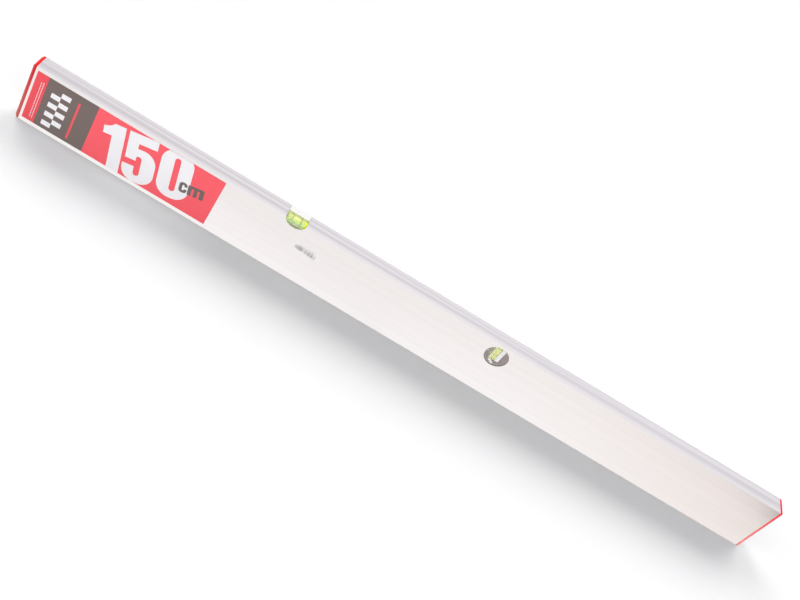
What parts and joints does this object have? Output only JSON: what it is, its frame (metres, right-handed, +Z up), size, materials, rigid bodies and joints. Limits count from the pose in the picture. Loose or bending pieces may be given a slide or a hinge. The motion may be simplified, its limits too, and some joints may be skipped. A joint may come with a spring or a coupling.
{
  "type": "masons straightedge",
  "caption": "Long aluminium box-section straightedge for masons, with a level vial in the top edge, a plumb vial in a round window and red plastic end caps.",
  "frame": {"origin": "middle of the bar's lower edge, on the surface it stands on", "axes": "+X along the bar towards the end further from the label, +Y from the labelled face to the back face, +Z up from the lower edge to the edge with the level vial"},
  "size_m": [1.514, 0.0353, 0.12],
  "materials": {
    "bar_aluminium": "satin extruded, fine lengthwise lines",
    "cap_plastic": "moulded, satin, red",
    "label_film": "printed vinyl film, red and warm grey fields",
    "sticker_paper": "white coated paper with grey bars",
    "carrier_plastic": "moulded, white",
    "vial_acrylic": "clear acrylic, polished, tinted yellow-green",
    "vial_spirit": "clear yellow-green liquid",
    "vial_bubble": "bright pale bubble",
    "vial_ring": "dark green line"
  },
  "bodies": {
    "root": {"bar_profile": "bar_aluminium", "left_end_cap": "cap_plastic", "right_end_cap": "cap_plastic", "size_label": "label_film", "code_sticker": "sticker_paper", "level_carrier": "carrier_plastic", "level_vial": "vial_acrylic", "level_plug": "vial_acrylic", "level_spirit": "vial_spirit", "level_ring_left": "vial_ring", "level_ring_right": "vial_ring", "plumb_carrier": "carrier_plastic", "plumb_vial": "vial_acrylic", "plumb_plug": "vial_acrylic", "plumb_spirit": "vial_spirit", "plumb_ring_upper": "vial_ring", "plumb_ring_lower": "vial_ring"},
    "level_bubble": {"level_bubble": "vial_bubble"},
    "plumb_bubble": {"plumb_bubble": "vial_bubble"}
  },
  "joints": [
    {"name": "level_bubble_slide", "type": "slide", "parent": "root", "child": "level_bubble", "axis": [1, 0, 0], "range_m": [-0.0107, 0.0107], "stiffness_N_per_m": 0.5},
    {"name": "plumb_bubble_slide", "type": "slide", "parent": "root", "child": "plumb_bubble", "axis": [0, 0, 1], "range_m": [-0.0204, 0], "stiffness_N_per_m": 0.5, "springref_m": 0.012}
  ]
}
